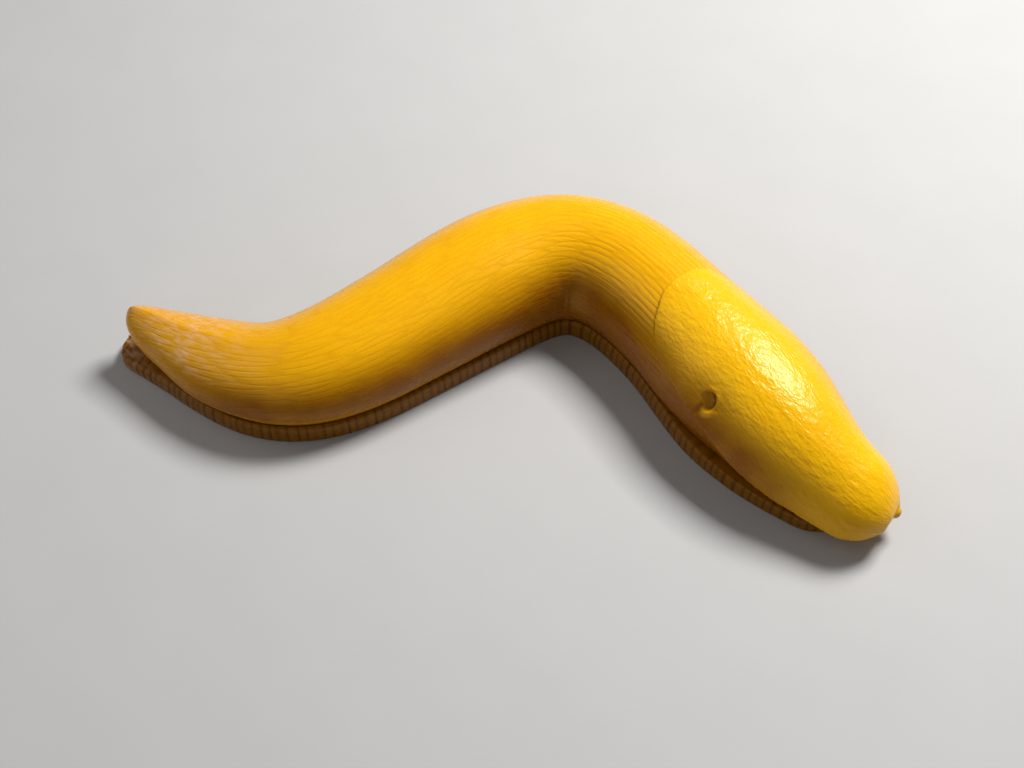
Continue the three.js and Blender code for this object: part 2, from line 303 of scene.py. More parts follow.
def body_section(station, share):
    """The outline of body and foot, from the middle of the sole at 0 to the ridge at 1."""
    width = foot_half_width(station)
    squeeze = np.minimum(1, width / NARROW_FOOT)
    top = fringe_height(station)
    lift = 0.5 + 0.5 * round_end(station * BODY_LENGTH, RIM_TAIL_RADIUS)
    low = top + GROOVE_GAP
    inset = flank_inset(station)
    ends = wall_ends(station, WALL_TAIL_RADIUS)

    sole_out = np.maximum(width - SOLE_INSET * squeeze, 0) * share / SOLE_SHARE
    sole_up = top * (0.5 - 0.5 * lift) + 0 * share

    rim_share = (share - SOLE_SHARE) / (RIM_SHARE - SOLE_SHARE)
    wall_foot = dome(station, -CURL_ANGLE + 0 * station, 0, low, inset)[0] * ends
    rim_out = np.maximum(width + RIM_INSETS(rim_share) * squeeze, 0)
    ledge_out = np.minimum(wall_foot, width) - GROOVE_GAP
    rim_out = rim_out + (ledge_out - rim_out) * ease(LEDGE_START, 1, rim_share)
    rim_up = top * (0.5 + (RIM_LEVELS(rim_share) - 0.5) * lift)

    angle = wall_angle((share - RIM_SHARE) / (1 - RIM_SHARE))
    wall_out, wall_up = dome(station, angle, 0, low, inset)
    wall_out = wall_out * ends
    wall_up = top + (wall_up - top) * wall_ends(station, WALL_TAIL_RISE)

    out = np.where(share < SOLE_SHARE, sole_out, np.where(share < RIM_SHARE, rim_out, wall_out))
    up = np.where(share < SOLE_SHARE, sole_up, np.where(share < RIM_SHARE, rim_up, wall_up))
    return out, up


def mantle_section(station, share):
    """The outline that the mantle is cut from."""
    angle = wall_angle((share - SOLE_SHARE) / (1 - SOLE_SHARE))
    out, up = dome(station, angle, MANTLE_PROUD, MANTLE_LOW, 1)
    out = np.where(share < SOLE_SHARE, out * share / SOLE_SHARE, out)
    left = round_end((1 - station) * BODY_LENGTH + MANTLE_PROUD, NOSE_RADIUS)
    middle = MANTLE_MIDDLE * height(station)
    return out * left, middle + (up - middle) * left


def spread_rings(count, start, end, finer):
    """Stations of rings from start to end, closer together round each (place, width) in finer."""
    station = start + (end - start) * np.linspace(0, 1, 4001)
    density = 1 + sum(CROWDING * np.exp(-(((station - at) / width) ** 2)) for at, width in finer)
    total = np.concatenate([[0], np.cumsum((density[1:] + density[:-1]) / 2)])
    return np.interp(np.linspace(0, total[-1], count + 1), total, station)


def set_points(mesh_data, points):
    """Moves a bmesh's vertices to points in millimetres."""
    for vert, point in zip(mesh_data.verts, points):
        vert.co = point


def points_of(mesh_data):
    """A bmesh's vertices as an array."""
    return np.array([vert.co for vert in mesh_data.verts])


def no_lean(station, up):
    """Rings that stand straight up."""
    return 0


def wrap(around, along, start, end, section, finer, lean=no_lean):
    """A closed surface through section(station, share), made from a sphere with its poles at the ends."""
    made = bmesh.new()
    bmesh.ops.create_uvsphere(made, u_segments=around, v_segments=along, radius=1)
    unit = points_of(made)
    latitude = np.arcsin(np.clip(unit[:, 2], -1, 1)) / math.pi + 0.5
    ring = np.clip(np.rint(latitude * along), 0, along).astype(int)
    stations = spread_rings(along, start, end, finer)[ring]
    turn = (np.arctan2(unit[:, 1], unit[:, 0]) / (2 * math.pi) + 0.25) % 1
    side = np.where(turn <= 0.5, 1, -1)
    out, up = section(stations, 1 - np.abs(2 * turn - 1))
    low_up = section(stations, np.zeros(len(stations)))[1]
    high_up = section(stations, np.ones(len(stations)))[1]
    pole = (ring == 0) | (ring == along)
    out = np.where(pole, 0, out)
    up = np.where(pole, (low_up + high_up) / 2, up)
    set_points(made, place(stations - lean(stations, up), side * out, up))
    return made


def as_object(name, mesh_data):
    """An object in metres, made from a bmesh in millimetres, which it frees."""
    bmesh.ops.recalc_face_normals(mesh_data, faces=mesh_data.faces)
    mesh = bpy.data.meshes.new(name)
    mesh_data.to_mesh(mesh)
    mesh_data.free()
    mesh.transform(Matrix.Scale(MM, 4))
    made = bpy.data.objects.new(name, mesh)
    bpy.context.scene.collection.objects.link(made)
    return made


def combine(base, other, operation):
    """Joins other to base, or cuts it from base, and removes other."""
    modifier = base.modifiers.new(operation.lower(), "BOOLEAN")
    modifier.operation = operation
    modifier.object = other
    modifier.solver = "MANIFOLD"
    bpy.context.view_layer.update()
    evaluated = base.evaluated_get(bpy.context.evaluated_depsgraph_get())
    mesh = bpy.data.meshes.new_from_object(evaluated)
    base.modifiers.remove(modifier)
    old = base.data
    base.data = mesh
    bpy.data.meshes.remove(old)
    bpy.data.meshes.remove(other.data)
    return base


def refine(mesh_data, chosen, cuts):
    """Splits the edges whose two ends are chosen."""
    edges = [edge for edge in mesh_data.edges if all(chosen[vert.index] for vert in edge.verts)]
    bmesh.ops.subdivide_edges(mesh_data, edges=edges, cuts=cuts, use_grid_fill=True)
    mesh_data.verts.index_update()


def pore_centre():
    """The middle of the breathing pore on the mantle, in millimetres."""
    out, up = dome(np.array(PORE_AT), np.array(PORE_ANGLE), MANTLE_PROUD, MANTLE_LOW, 1)
    return place(PORE_AT, -out, up)


def body_mesh():
    """Body and foot as one closed surface, with finer faces along the rim of the foot."""
    made = wrap(BODY_SIDES, BODY_RINGS, 0, FOOT_END - 0.0004, body_section,
                ((0, 0.012), (WALL_START, 0.01), (FOOT_END, 0.012)), tail_lean)
    made.verts.ensure_lookup_table()
    points = points_of(made)
    stations, lefts = locate(points)
    rim = (points[:, 2] < fringe_height(stations) * 1.02) & (np.abs(lefts) > foot_half_width(stations) - 0.8)
    edges = []
    for edge in made.edges:
        a, b = (vert.index for vert in edge.verts)
        if rim[a] and rim[b] and abs(stations[a] - stations[b]) > 2e-4:
            edges.append(edge)
    bmesh.ops.subdivide_edges(made, edges=edges, cuts=RIM_CUTS, use_grid_fill=False)
    return made


def mantle_mesh():
    """The mantle before its margin is cut, its nose turned right, with finer faces round the pore."""
    made = wrap(MANTLE_SIDES, MANTLE_RINGS, MANTLE_START, 1 - 0.0002, mantle_section, ((1, 0.012),))
    points = points_of(made)
    stations, _ = locate(points)
    turned = NOSE_TURNED * ease(0.93, 1, stations)
    points[:, 0] += np.sin(heading(stations)) * turned
    points[:, 1] -= np.cos(heading(stations)) * turned
    set_points(made, points)
    near = np.linalg.norm(points - pore_centre(), axis=1) < PORE_WIDTH
    made.verts.index_update()
    refine(made, near, PORE_CUTS)
    return made


def margin_cutter():
    """Everything below the mantle's margin or behind its rear edge, arched a little under the mantle."""
    made = bmesh.new()
    bmesh.ops.create_grid(made, x_segments=160, y_segments=16, size=1)
    grid = points_of(made)
    stations = MARGIN_START + (MARGIN_END - MARGIN_START) * (grid[:, 0] + 1) / 2
    lefts = grid[:, 1] * MARGIN_REACH
    reach = np.clip(np.abs(lefts) / (half_width(stations) + MANTLE_PROUD), 0, 1)
    level = margin_height(stations) + MARGIN_ARCH * (1 - reach**4) * ease(0.74, 0.8, stations)
    set_points(made, place(stations, lefts, level))
    grown = bmesh.ops.extrude_face_region(made, geom=list(made.faces))
    for vert in (item for item in grown["geom"] if isinstance(item, bmesh.types.BMVert)):
        vert.co.z = -5
    return made


def blob(size, segments, rings):
    """A sphere squeezed to a size in millimetres, its length along +Y."""
    made = bmesh.new()
    bmesh.ops.create_uvsphere(made, u_segments=segments, v_segments=rings, radius=0.5)
    bmesh.ops.scale(made, vec=Vector(size), verts=made.verts)
    return made


def stub_shape(radius, length):
    """A blunt rod with round ends along Y, for a drawn-in tentacle."""
    made = blob((2 * radius, 2 * radius, 2 * radius), 20, 16)
    for vert in made.verts:
        vert.co.y += math.copysign(length / 2, vert.co.y) if abs(vert.co.y) > 1e-6 else 0
    return made


def stand(made, station, left, up, turn=0):
    """Moves a shape that looks along +Y to a station, looking forwards."""
    at = place(station, left, up)
    matrix = Matrix.Translation(Vector(at)) @ Matrix.Rotation(
        float(heading(station)) - math.pi / 2 + math.radians(turn), 4, "Z")
    bmesh.ops.transform(made, matrix=matrix, verts=made.verts)
    return made


def snout_front():
    """The station just behind the snout's tip, which the lips and the tentacles are measured from."""
    return SNOUT["at"] + 0.45 * SNOUT["length"] / BODY_LENGTH


def tentacle_centre(spec, side):
    """Where the middle of a tentacle's stub is: its station and its distance left."""
    reach = spec["reach"][0 if side > 0 else 1]
    station = snout_front() + (reach - 0.9 * spec["length"]) / BODY_LENGTH
    return station, SNOUT["left"] + side * spec["side"]


def head_pieces():
    """The snout, the lips and the four tentacle stubs."""
    size = (SNOUT["width"], SNOUT["length"], SNOUT["height"])
    pieces = [stand(blob(size, 48, 32), SNOUT["at"], SNOUT["left"], SNOUT["level"])]
    for side in (-1, 1):
        lip = blob((MOUTH["width"] * 0.75, MOUTH["lip"], MOUTH["height"]), 24, 16)
        left = SNOUT["left"] + side * MOUTH["width"] * 0.24
        pieces.append(stand(lip, snout_front() - 1 / BODY_LENGTH, left, MOUTH["level"]))
    for spec in (UPPER_TENTACLE, LOWER_TENTACLE):
        for side in (-1, 1):
            station, left = tentacle_centre(spec, side)
            stub = stub_shape(spec["radius"], spec["length"])
            pieces.append(stand(stub, station, left, spec["level"], side * spec["splay"]))
    return pieces


def rim_lengths():
    """The length along each side of the foot's rim, against station, for grooves that stay evenly spaced."""
    stations = np.linspace(0, FOOT_END, 1200)
    tables = {}
    for side in (-1, 1):
        edge = place(stations, side * foot_half_width(stations), 0)
        tables[side] = np.concatenate([[0], np.cumsum(np.linalg.norm(np.diff(edge, axis=0), axis=1))])
    return stations, tables


def wander(x, y, z=0.0):
    """Smooth noise between -1 and 1 at each point."""
    x, y, z = np.broadcast_arrays(x, y, z)
    return np.array([noise.noise(Vector(p)) for p in zip(x.tolist(), y.tolist(), z.tolist())])


def skin_layout(points):
    """Where each point of the skin lies on the animal, and which part it belongs to."""
    stations, lefts = locate(points)
    ups = points[:, 2]
    side = np.where(lefts >= 0, 1, -1)
    low = fringe_height(stations)
    top, bulge = wall_levels(stations, low)
    angle = np.arctan2((ups - bulge) / (top - bulge), np.abs(lefts) / (half_width(stations)))
    around = side * (math.pi / 2 - angle) * (half_width(stations) + top - bulge) / 2
    slope = (margin_height(stations + 0.002) - margin_height(stations - 0.002)) / (0.004 * BODY_LENGTH)
    above = (ups - margin_height(stations)) / np.sqrt(1 + slope**2)
    above = np.where(stations < MANTLE_MARGIN[0][0], -9, above)
    on_rim = (ups < low * 1.01) & (stations < FOOT_END)
    return {
        "station": stations, "up": ups, "side": side, "along": stations * BODY_LENGTH, "around": around,
        "angle": angle, "above": above, "low": low,
        "mantle": np.maximum(ease(-0.1, 0.15, above), ease(0.975, 0.985, stations)),
        "rim": np.where(on_rim, 1.0, 0.0) * ease(0.02, 0.3, ups),
        "sole": 1 - ease(0.02, 0.25, ups),
    }


def furrows(layout, spacing, depth):
    """Lengthways furrows, strongest from the bend forwards: how far each point moves, and the painted shade
    in its furrow.
    """
    along, around, station = layout["along"], layout["around"], layout["station"]
    drift = 0.5 * wander(along / 24, around / 5) + 0.14 * wander(along / 7, around / 2.2, 4.0)
    phase = around / spacing + drift
    groove = (0.5 + 0.5 * np.cos(2 * math.pi * phase)) ** 4
    cell = wander(along / 3.2, np.floor(phase) * 3.7, 9.0)
    strength = 0.1 + 0.08 * ease(0.12, 0.3, station) + 0.82 * ease(0.48, 0.6, station)
    return depth * strength * (0.3 * cell - groove * (0.8 + 0.4 * cell)), groove * strength


def rim_grooves(layout, spacing):
    """The upright grooves of the foot's rim, evenly spaced along each edge: 1 in the middle of each."""
    stations, tables = rim_lengths()
    length = np.where(layout["side"] > 0, np.interp(layout["station"], stations, tables[1]),
                      np.interp(layout["station"], stations, tables[-1]))
    turn = 2 * math.pi * (length / spacing + 0.6 * wander(length / 5, 0.0, 1.0))
    notch = (0.5 + 0.5 * np.cos(turn)) ** 5
    return notch * (0.65 + 0.5 * wander(length / 3, 0.0, 5.0))


def relief(layout, settings):
    """How far each point of the skin moves out, in millimetres, and how dark it is painted: painted shade in
    the furrows, dark lines in the rim's grooves.
    """
    along, around, up = layout["along"], layout["around"], layout["up"]
    mantle, rim = layout["mantle"], layout["rim"]
    wall = (1 - mantle) * (1 - rim) * (1 - layout["sole"])
    furrow, groove = furrows(layout, settings.furrow_spacing / MM, settings.furrow_depth / MM)
    move = wall * furrow * ease(0, 0.8, up - layout["low"])

    # Fine grain on the mantle, and soft swellings everywhere.
    grain = wander(along / 1.5, around / 0.8, 2.0)
    coarse = wander(along / 9, around / 7, 6.0)
    move += mantle * (MANTLE_GRAIN * grain + MANTLE_SWELL * coarse) + WALL_SWELL * wall * coarse

    # The rim's grooves fade out towards the sole.
    notch = rim_grooves(layout, settings.groove_spacing / MM)
    move -= RIM_NOTCH * rim * notch * ease(0.2, 1.0, up)

    # Folds low on the inside of the bend.
    inner = np.exp(-(((layout["station"] - BEND_AT) / 0.06) ** 2)) * (layout["side"] < 0)
    inner = inner * ease(0.9, 0.3, layout["angle"])
    move += BEND_FOLD * inner * wall * wander(along / 3.4, around / 9, 3.0)
    return move, np.clip(wall * groove + rim * notch, 0, 1)


def pore_shape(points, normals):
    """The breathing pore: how far each point near it sinks, the painted shade of its dark crescent and
    notch, its dent and its sill.
    """
    centre = pore_centre()
    off = points - centre
    distance = np.linalg.norm(off, axis=1)
    wall = -half_width(PORE_AT)
    ahead = place(PORE_AT + 0.004, wall, centre[2]) - place(PORE_AT, wall, centre[2])
    ahead = ahead / np.linalg.norm(ahead)
    upward = np.cross(normals[distance.argmin()], ahead)
    upward = upward / np.linalg.norm(upward) * np.sign(upward[2])
    forward = off @ ahead
    rise = off @ upward

    radius = np.hypot(forward / (PORE_WIDTH * 0.5), rise / (PORE_WIDTH * 0.56))
    along_lip = 0.75 * forward + 0.65 * rise
    across_lip = 0.65 * forward - 0.75 * rise
    toward_lip = along_lip / (PORE_WIDTH * 0.5)
    inside = 1 - ease(0.72, 1.0, radius)
    pit = inside * (0.12 + 0.88 * ease(-0.9, 0.75, toward_lip))
    sill = np.exp(-(((across_lip - 2.3) / 0.55) ** 2) - ((along_lip / 1.3) ** 2))
    rim = np.exp(-(((radius - 1.12) / 0.2) ** 2)) * ease(-0.2, 0.6, toward_lip)
    notch = np.exp(-(((forward + 0.5) / 0.45) ** 2)) * ease(-0.6, -1.6, rise) * ease(-4.4, -2.4, rise)
    dent = np.exp(-((radius / 2.4) ** 2))
    sunk = -PORE_DEPTH * pit + PORE_RIM * rim + PORE_SILL * sill - PORE_NOTCH * notch - PORE_DENT * dent
    # Painted shade in the pit's deep crescent and in the notch.
    shade = inside * ease(0.15, 0.6, toward_lip) * ease(0.35, 0.7, radius)
    shade = np.clip(shade + 0.35 * notch * (radius < 1.6), 0, 1)
    near = distance < 3 * PORE_WIDTH
    return [np.where(near, part, 0) for part in (sunk, shade, dent, sill)]


def soften(work, verts, times, factor):
    """Smooths some of a bmesh's vertices a few times."""
    for _ in range(times):
        bmesh.ops.smooth_vert(work, verts=verts, factor=factor, use_axis_x=True, use_axis_y=True,
                              use_axis_z=True)


def soften_joins(work):
    """Softens the mantle's margin and the left upper tentacle, which shows as a low nub."""
    near_margin = np.abs(skin_layout(points_of(work))["above"]) < MARGIN_SOFT
    soften(work, [vert for vert in work.verts if near_margin[vert.index]], 6, 0.5)
    station, left = tentacle_centre(UPPER_TENTACLE, 1)
    tip = Vector(place(station + UPPER_TENTACLE["length"] / 2 / BODY_LENGTH, left, UPPER_TENTACLE["level"]))
    reach = 2.1 * UPPER_TENTACLE["radius"]
    soften(work, [vert for vert in work.verts if (vert.co - tip).length < reach], 5, 0.4)


def press_relief(work, settings):
    """Presses furrows, grooves and pore into the skin, and gives where each point lies and its painted shade
    and highlight masks.
    """
    work.normal_update()
    points = points_of(work)
    normals = np.array([vert.normal for vert in work.verts])
    layout = skin_layout(points)
    move, dark = relief(layout, settings)
    # The second value is the pore's painted shade.
    sunk, pit, dent, sill = pore_shape(points, normals)
    moved = points + normals * (move + sunk)[:, None]
    moved[:, 2] = np.where(points[:, 2] < 0.02, points[:, 2], np.maximum(moved[:, 2], 0.01))
    set_points(work, moved)
    return layout | {"dark": dark, "pit": pit, "dent": dent, "sill": sill}


def write_colours(mesh, name, channels):
    """Stores up to three masks as one colour attribute on the points."""
    values = np.ones((len(mesh.vertices), 4), np.float32)
    for i, channel in enumerate(channels):
        values[:, i] = np.clip(channel, 0, 1)
    attribute = mesh.attributes.new(name, "FLOAT_COLOR", "POINT")
    attribute.data.foreach_set("color", values.ravel())


def write_map(mesh, along, around):
    """A UV map in body coordinates: along the body and around it, 1 for 100 mm."""
    corners = np.zeros(len(mesh.loops), np.int32)
    mesh.loops.foreach_get("vertex_index", corners)
    layer = mesh.uv_layers.new(name="BodyMap")
    layer.data.foreach_set("uv", np.stack([along[corners], around[corners]], 1).ravel() / 100)


def paint_skin(mesh, layout):
    """Stores where the skin is mantle, rim, sole and tail, and its marks: painted shade on the lower flanks,
    in the furrows and in the pore, the slime film with a painted highlight at the tail's tip, and the pale
    strip with a painted highlight on the pore's sill.
    """
    station, up, low = layout["station"], layout["up"], layout["low"]
    right = layout["side"] < 0
    # Painted shade on the lower flanks: darker low down, strongest on the right side and near the bend,
    # lighter on the left side and towards the tail and head.
    flank_shade = ease(1.1, 0.12, layout["angle"]) * (1 - 0.75 * ease(0.87, 0.95, station))
    flank_shade = flank_shade * (0.35 + 0.65 * ease(0.07, 0.19, station))
    near_bend = np.exp(-(((station - 0.56) / 0.09) ** 2)) * right
    flank_shade = flank_shade * (0.95 + 0.4 * near_bend) * np.where(right, 1, 0.6)
    # More painted shade in the dent round the pore; the pore's sill is cleared of it, as painted highlight.
    flank_shade = np.clip(flank_shade + 0.2 * layout["dent"] - 0.6 * layout["sill"], 0, 1)
    strip_and_highlight = np.exp(-(((up - low - 1.2) / 1.1) ** 2)) * (1 - layout["mantle"]) * ease(0.6, 0.1, station)
    # The pore's sill takes the strip's paler colour as a painted highlight.
    strip_and_highlight = np.maximum(strip_and_highlight, 0.7 * layout["sill"])
    film_and_highlight = np.exp(-(((station - 0.09) / 0.055) ** 2)) * ease(0.35, 0.75, layout["angle"]) * (up > low)
    # A painted highlight on the rim at the tail's tip, in the film's colour.
    film_and_highlight = np.maximum(film_and_highlight, 0.7 * layout["rim"] * (1 - ease(0.02, 0.05, station)))
    write_colours(mesh, "regions", (layout["mantle"], layout["rim"], layout["sole"]))
    write_colours(mesh, "shades", (flank_shade, layout["dark"], film_and_highlight))
    write_colours(mesh, "marks", (layout["pit"], strip_and_highlight, 1 - ease(0.05, 0.3, station)))
    write_map(mesh, layout["along"], layout["around"])


class Nodes:
    """Short calls for a material's node tree."""

    def __init__(self, material):
        material.use_nodes = True
        self.tree = material.node_tree
        self.tree.nodes.clear()

    def fill(self, socket, value):
        """Links a socket to another, or sets its value."""
        if isinstance(value, bpy.types.NodeSocket):
            self.tree.links.new(value, socket)
        else:
            socket.default_value = value

    def add(self, kind, inputs=None, **values):
        """A new node with its settings and inputs."""
        node = self.tree.nodes.new(kind)
        for name, value in values.items():
            setattr(node, name, value)
        for name, value in (inputs or {}).items():
            self.fill(node.inputs[name], value)
        return node

    def math(self, operation, a, b, clamp=False):
        """One sum of two numbers."""
        return self.add("ShaderNodeMath", {0: a, 1: b}, operation=operation, use_clamp=clamp).outputs[0]

    def times(self, a, b, clamp=False):
        """Two numbers multiplied."""
        return self.math("MULTIPLY", a, b, clamp)

    def mix(self, factor, a, b):
        """Colour a turned into colour b by a factor."""
        return self.add("ShaderNodeMix", {0: factor, 6: a, 7: b}, data_type="RGBA").outputs[2]

    def masks(self, name):
        """The three masks of a colour attribute."""
        colour = self.add("ShaderNodeAttribute", attribute_name=name).outputs["Color"]
        return self.add("ShaderNodeSeparateColor", {0: colour}).outputs

    def stretch(self, vector, along, around):
        """Map coordinates with so many repeats for 100 mm along and around the body."""
        return self.add("ShaderNodeMapping", {"Vector": vector, "Scale": (along, around, 1)}).outputs[0]

    def noise(self, vector, scale, detail, roughness=0.5):
        """A cloudy pattern."""
        return self.add("ShaderNodeTexNoise", {
            "Vector": vector, "Scale": scale, "Detail": detail, "Roughness": roughness}).outputs[0]

    def cells(self, vector, randomness, feature):
        """A pattern of cells."""
        return self.add("ShaderNodeTexVoronoi", {"Vector": vector, "Scale": 1, "Randomness": randomness},
                        feature=feature, voronoi_dimensions="2D").outputs["Distance"]


def rgba(colour):
    """A colour with full alpha."""
    return (*colour, 1)


def skin_colour(nodes, settings, body_map, masks, lines, mottle):
    """Yellow back and mantle, painted orange-brown shade on the lower flanks, brown rim, painted shade in
    the furrows and pore, slime film on the tail with a painted highlight.
    """
    cloud = nodes.noise(nodes.add("ShaderNodeTexCoord").outputs["Object"], 90, 4)
    # The painted shade colour, for the lower flanks and the furrows; the fine lines and the mottle also
    # darken towards it.
    dark = rgba(settings.flank_shade_colour)
    back = nodes.mix(cloud, rgba(settings.back_colour), rgba(settings.back_colour_light))
    mantle = nodes.mix(cloud, rgba(settings.mantle_colour), rgba(settings.mantle_colour_light))
    skin = nodes.mix(masks["mantle"], back, mantle)
    skin = nodes.mix(nodes.times(masks["tail"], 0.5), skin, rgba(settings.tail_colour))
    # Painted shade on the lower flanks, in cloudy patches.
    patchy = nodes.times(masks["flank_shade"], nodes.math("ADD", cloud, 0.55), clamp=True)
    skin = nodes.mix(patchy, skin, dark)
    # The paler strip above the rim, and a painted highlight on the pore's sill.
    skin = nodes.mix(nodes.times(masks["strip_and_highlight"], 0.85), skin, rgba(settings.strip_and_highlight_colour))
    # Painted shade in the furrows of the back.
    skin = nodes.mix(nodes.times(masks["furrow"], 0.16), skin, dark)
    skin = nodes.mix(nodes.times(lines, 0.1), skin, dark)
    skin = nodes.mix(nodes.times(mottle, 0.1), skin, dark)
    grooved = nodes.times(masks["furrow"], 0.95)
    rim = nodes.mix(grooved, rgba(settings.rim_colour), rgba(settings.groove_colour))
    skin = nodes.mix(masks["rim"], skin, rim)
    skin = nodes.mix(masks["sole"], skin, rgba(settings.sole_colour))
    # Slime film on the tail in smeared streaks, and a painted highlight on the rim at the tail's tip.
    smear = nodes.noise(nodes.stretch(body_map, 22, 60), 1.4, 5, 0.65)
    smear = nodes.times(nodes.math("SUBTRACT", smear, 0.45), 5, clamp=True)
    smear = nodes.times(smear, masks["film_and_highlight"])
    skin = nodes.mix(nodes.times(smear, 0.5), skin, rgba(settings.film_and_highlight_colour))
    # Painted shade inside the pore.
    return nodes.mix(masks["pit"], skin, rgba(settings.pore_shade_colour))


def skin_grain(nodes, body_map, mantle, lines):
    """The height of the finest grain: pebbles and pits, strongest on the mantle, and a net of fine lines."""
    cells = nodes.cells(nodes.stretch(body_map, 70, 150), 0.9, "SMOOTH_F1")
    fine = nodes.cells(nodes.stretch(body_map, 140, 260), 1, "SMOOTH_F1")
    pebbles = nodes.noise(nodes.stretch(body_map, 42, 85), 1, 4, 0.6)
    grain = nodes.math("ADD", nodes.times(cells, 0.12), nodes.times(fine, 0.12))
    grain = nodes.math("ADD", grain, nodes.times(pebbles, 0.8))
    grain = nodes.times(grain, nodes.math("ADD", nodes.times(mantle, 0.8), 0.2))
    return nodes.math("SUBTRACT", grain, nodes.times(lines, 0.1))


def skin_material(settings):
    """Wet slug skin: coloured by its masks, with a fine grain and a thin clear coat of slime."""
    material = bpy.data.materials.new("wet_skin")
    nodes = Nodes(material)
    body_map = nodes.add("ShaderNodeUVMap", uv_map="BodyMap").outputs[0]
    masks = dict(zip(("mantle", "rim", "sole"), nodes.masks("regions")))
    masks.update(zip(("flank_shade", "furrow", "film_and_highlight"), nodes.masks("shades")))
    masks.update(zip(("pit", "strip_and_highlight", "tail"), nodes.masks("marks")))

    net = nodes.cells(nodes.stretch(body_map, 11, 92), 0.85, "DISTANCE_TO_EDGE")
    lines = nodes.math("SUBTRACT", 1.0, nodes.times(net, 5, clamp=True))
    lines = nodes.times(lines, nodes.math("SUBTRACT", 1.0, masks["mantle"]), clamp=True)
    mottle = nodes.noise(nodes.add("ShaderNodeTexCoord").outputs["Object"], 700, 3)
    grain = skin_grain(nodes, body_map, masks["mantle"], lines)
    bump = nodes.add("ShaderNodeBump", {"Height": grain, "Strength": 0.8, "Distance": 0.0004}).outputs[0]
    shader = nodes.add("ShaderNodeBsdfPrincipled", {
        "Base Color": skin_colour(nodes, settings, body_map, masks, lines, mottle),
        "Roughness": nodes.math("ADD", nodes.times(mottle, 0.16), 0.2),
        "IOR": 1.34, "Specular Tint": (1, 0.75, 0.4, 1), "Normal": bump,
        "Subsurface Weight": 0.22, "Subsurface Radius": (1.0, 0.45, 0.08), "Subsurface Scale": 0.0022,
        "Coat Weight": nodes.math("SUBTRACT", 0.28, nodes.times(masks["flank_shade"], 0.2)),
        "Coat Roughness": 0.09, "Coat IOR": 1.34, "Coat Normal": bump})
    nodes.add("ShaderNodeOutputMaterial", {"Surface": shader.outputs[0]})
    return material


def plain_material(name, colour, roughness, coat=0.0):
    """A material of one finish with a faint cloud in its colour."""
    material = bpy.data.materials.new(name)
    nodes = Nodes(material)
    cloud = nodes.noise(nodes.add("ShaderNodeTexCoord").outputs["Object"], 60, 3)
    darker = tuple(channel * 0.94 for channel in colour)
    shader = nodes.add("ShaderNodeBsdfPrincipled", {
        "Base Color": nodes.mix(cloud, rgba(colour), rgba(darker)), "Roughness": roughness,
        "Coat Weight": coat})
    nodes.add("ShaderNodeOutputMaterial", {"Surface": shader.outputs[0]})
    return material


def colour_property(name, description, default):
    """A colour that a user may change."""
    return bpy.props.FloatVectorProperty(
        name=name, description=description, subtype="COLOR", size=3, min=0, max=1, default=default)


def length_property(name, description, default):
    """A length in metres that a user may change."""
    return bpy.props.FloatProperty(
        name=name, description=description, unit="LENGTH", min=0, default=default, precision=5)


class SlugSettings(bpy.types.PropertyGroup):
    """Sizes and colours that a user would change."""

    furrow_spacing: length_property("Furrow spacing", "Distance between the furrows of the back", 0.0011)
    furrow_depth: length_property("Furrow depth", "Depth of the furrows of the back", 0.000055)
    groove_spacing: length_property("Groove spacing", "Distance between the rim's grooves", 0.00165)
    back_colour: colour_property("Back", "Yellow of the back", (0.82, 0.385, 0.001))
    back_colour_light: colour_property("Back, light", "Lighter yellow of the back", (0.92, 0.48, 0.003))
    mantle_colour: colour_property("Mantle", "Yellow of the mantle", (0.88, 0.43, 0.0015))
    mantle_colour_light: colour_property("Mantle, light", "Lighter mantle yellow", (0.96, 0.55, 0.005))
    # Painted shade: the orange-brown laid on the lower flanks and in the furrows; the mottle and fine lines
    # also darken towards it.
    flank_shade_colour: colour_property("Flank", "Orange-brown of the flanks", (0.3, 0.095, 0.0003))
    tail_colour: colour_property("Tail", "Amber of the tail", (0.62, 0.25, 0.001))
    # Also the painted highlight on the pore's sill.
    strip_and_highlight_colour: colour_property("Strip", "Paler strip above the rim", (0.72, 0.34, 0.003))
    rim_colour: colour_property("Rim", "Olive brown of the foot's rim", (0.24, 0.09, 0.001))
    groove_colour: colour_property("Groove", "Dark brown in the rim's grooves", (0.045, 0.012, 0.0005))
    sole_colour: colour_property("Sole", "Pale sole", (0.60, 0.42, 0.16))
    # Also a painted highlight on the rim at the tail's tip.
    film_and_highlight_colour: colour_property("Film", "Pinkish film of slime on the tail", (0.82, 0.52, 0.34))
    # Painted shade: the dark inside of the pore.
    pore_shade_colour: colour_property("Pore", "Dark inside of the breathing pore", (0.05, 0.006, 0.0005))
    eye_colour: colour_property("Eyes", "Dark of the eye spots", (0.03, 0.02, 0.012))
    floor_colour: colour_property("Floor", "Pale floor", (0.5, 0.49, 0.475))
    key_power: bpy.props.FloatProperty(
        name="Key light", description="Power of the key light", unit="POWER", min=0, default=3.8)


